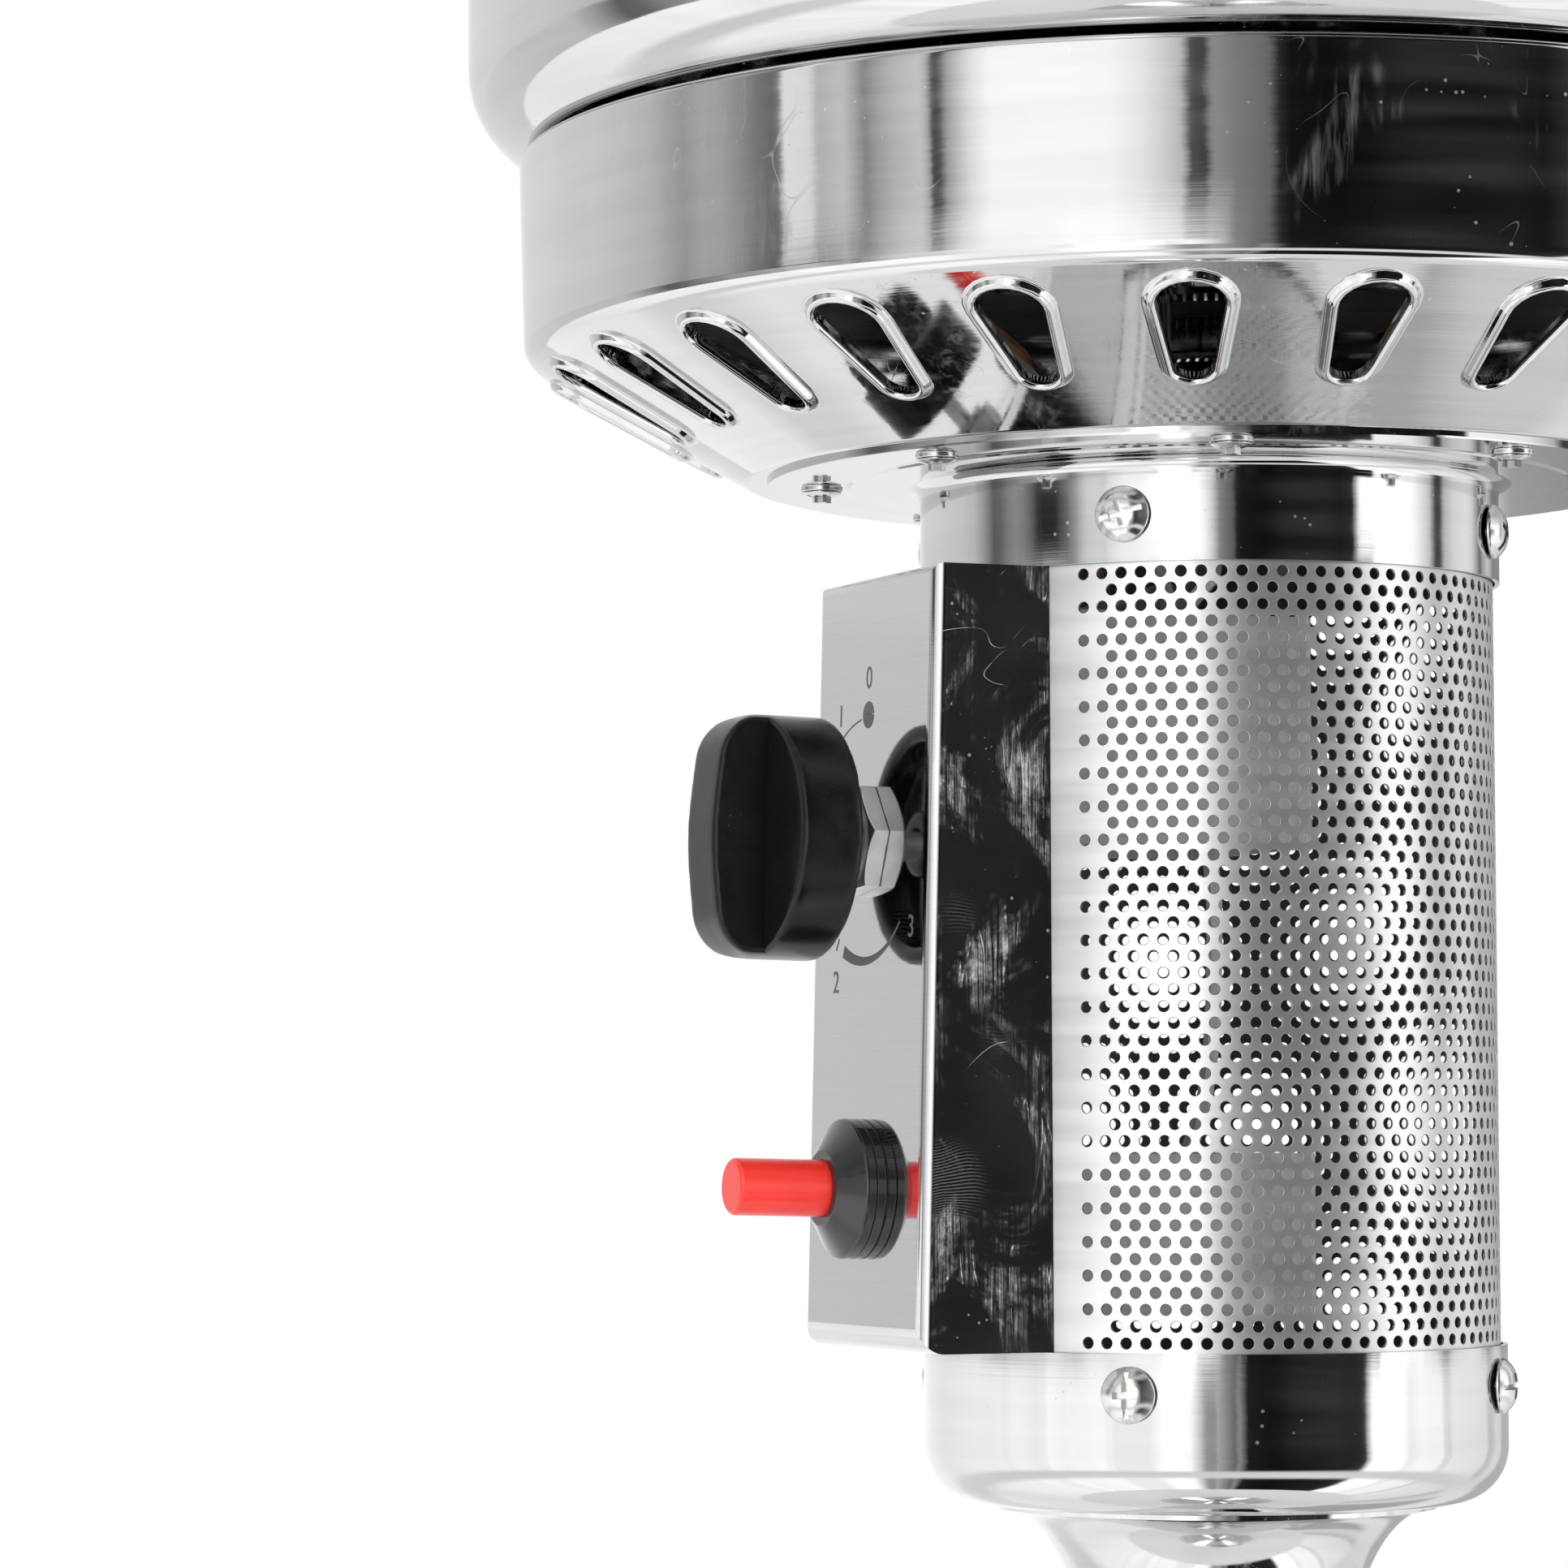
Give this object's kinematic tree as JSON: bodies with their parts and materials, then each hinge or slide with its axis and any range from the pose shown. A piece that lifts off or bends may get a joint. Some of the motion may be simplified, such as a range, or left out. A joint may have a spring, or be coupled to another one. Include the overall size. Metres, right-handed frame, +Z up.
{
  "type": "gas patio heater",
  "caption": "Full height gas patio heater: weighted wheeled base, lifting cylinder housing, post, perforated burner head with control knob and igniter, and a round reflector.",
  "frame": {"origin": "on the ground under the post's axis", "axes": "+Z up along the post, -Y towards the person at the control panel, +X to that person's right"},
  "size_m": [0.813, 0.813, 2.2107],
  "materials": {
    "steel": "polished stainless steel sheet with fine brushing",
    "panel": "satin stainless steel control panel",
    "mesh": "satin perforated stainless steel",
    "housing": "brushed stainless steel",
    "reflector": "bright spun aluminium",
    "screw": "nickel plated",
    "zinc": "zinc plated steel",
    "burner": "heat darkened steel",
    "emitter": "heat tinted stainless steel",
    "ballast": "painted cast weight",
    "brass": "machined brass",
    "valve": "die cast",
    "pipe": "drawn tube",
    "copper": "copper capillary",
    "knob": "black moulded plastic",
    "bezel": "black glossy plastic",
    "button": "red moulded plastic",
    "plastic": "black plastic",
    "ceramic": "white glazed ceramic, stood in for by plastic",
    "lead": "white silicone lead",
    "rubber": "black rubber",
    "wheel": "black moulded plastic"
  },
  "bodies": {
    "stand": {"base_pan": "steel", "base_edging": "rubber", "ballast_ring": "ballast", "wheel_bracket": "steel", "bracket_bolts": "screw", "wheel_axle": "zinc", "axle_caps": "plastic", "post_leg_rear": "zinc", "post_leg_left": "zinc", "post_leg_right": "zinc", "leg_bolts": "screw", "post_flange": "zinc", "post_screws": "screw", "post_tube": "steel", "post_upper_tube": "steel", "flared_foot": "steel", "foot_bolts": "screw", "lower_cup": "steel", "cup_screws": "screw", "perforated_cover": "mesh", "control_box": "panel", "upper_collar": "steel", "collar_screws": "screw", "flange_screws": "screw", "burner_bowl": "steel", "bowl_tray": "steel", "tray_screws": "screw", "venturi_tube": "steel", "burner_plate": "burner", "emitter_screen": "emitter", "emitter_cap": "emitter", "reflector_studs": "zinc", "reflector": "reflector", "wing_nuts": "zinc", "gas_valve": "valve", "valve_nut": "zinc", "inlet_fitting": "brass", "gas_pipe": "pipe", "gas_jet": "brass", "pilot_tube": "pipe", "thermocouple": "copper", "pilot_burner": "burner", "spark_electrode": "ceramic", "igniter_lead": "lead", "igniter_body": "plastic", "igniter_nut": "plastic", "igniter_bezel": "bezel", "tilt_switch": "plastic"},
    "housing": {"cylinder_housing": "housing", "housing_top": "housing", "housing_grommet": "rubber", "housing_screws": "screw"},
    "left_wheel": {"wheel_left": "wheel"},
    "right_wheel": {"wheel_right": "wheel"},
    "valve_stem": {"valve_driver": "brass"},
    "knob": {"valve_spindle": "zinc", "control_knob": "knob"},
    "plunger": {"igniter_button": "button"}
  },
  "joints": [
    {"name": "housing_lift", "type": "slide", "parent": "stand", "child": "housing", "axis": [0, 0, 1], "range_m": [0, 0.6]},
    {"name": "left_wheel_spin", "type": "hinge", "parent": "stand", "child": "left_wheel", "pos_m": [-0.108, 0.264, 0.047], "axis": [1, 0, 0], "continuous": true},
    {"name": "right_wheel_spin", "type": "hinge", "parent": "stand", "child": "right_wheel", "pos_m": [0.108, 0.264, 0.047], "axis": [1, 0, 0], "continuous": true},
    {"name": "valve_turn", "type": "hinge", "parent": "stand", "child": "valve_stem", "pos_m": [-0.0018, -0.06717, 1.77897], "axis": [0, -0.9997, 0.0262], "range_deg": [0, 225]},
    {"name": "knob_push", "type": "slide", "parent": "valve_stem", "child": "knob", "axis": [0, 0.9997, -0.0262], "range_m": [0, 0.004], "stiffness_N_per_m": 1500},
    {"name": "igniter_press", "type": "slide", "parent": "stand", "child": "plunger", "axis": [0, 0.9997, -0.0262], "range_m": [0, 0.006], "stiffness_N_per_m": 2500}
  ]
}
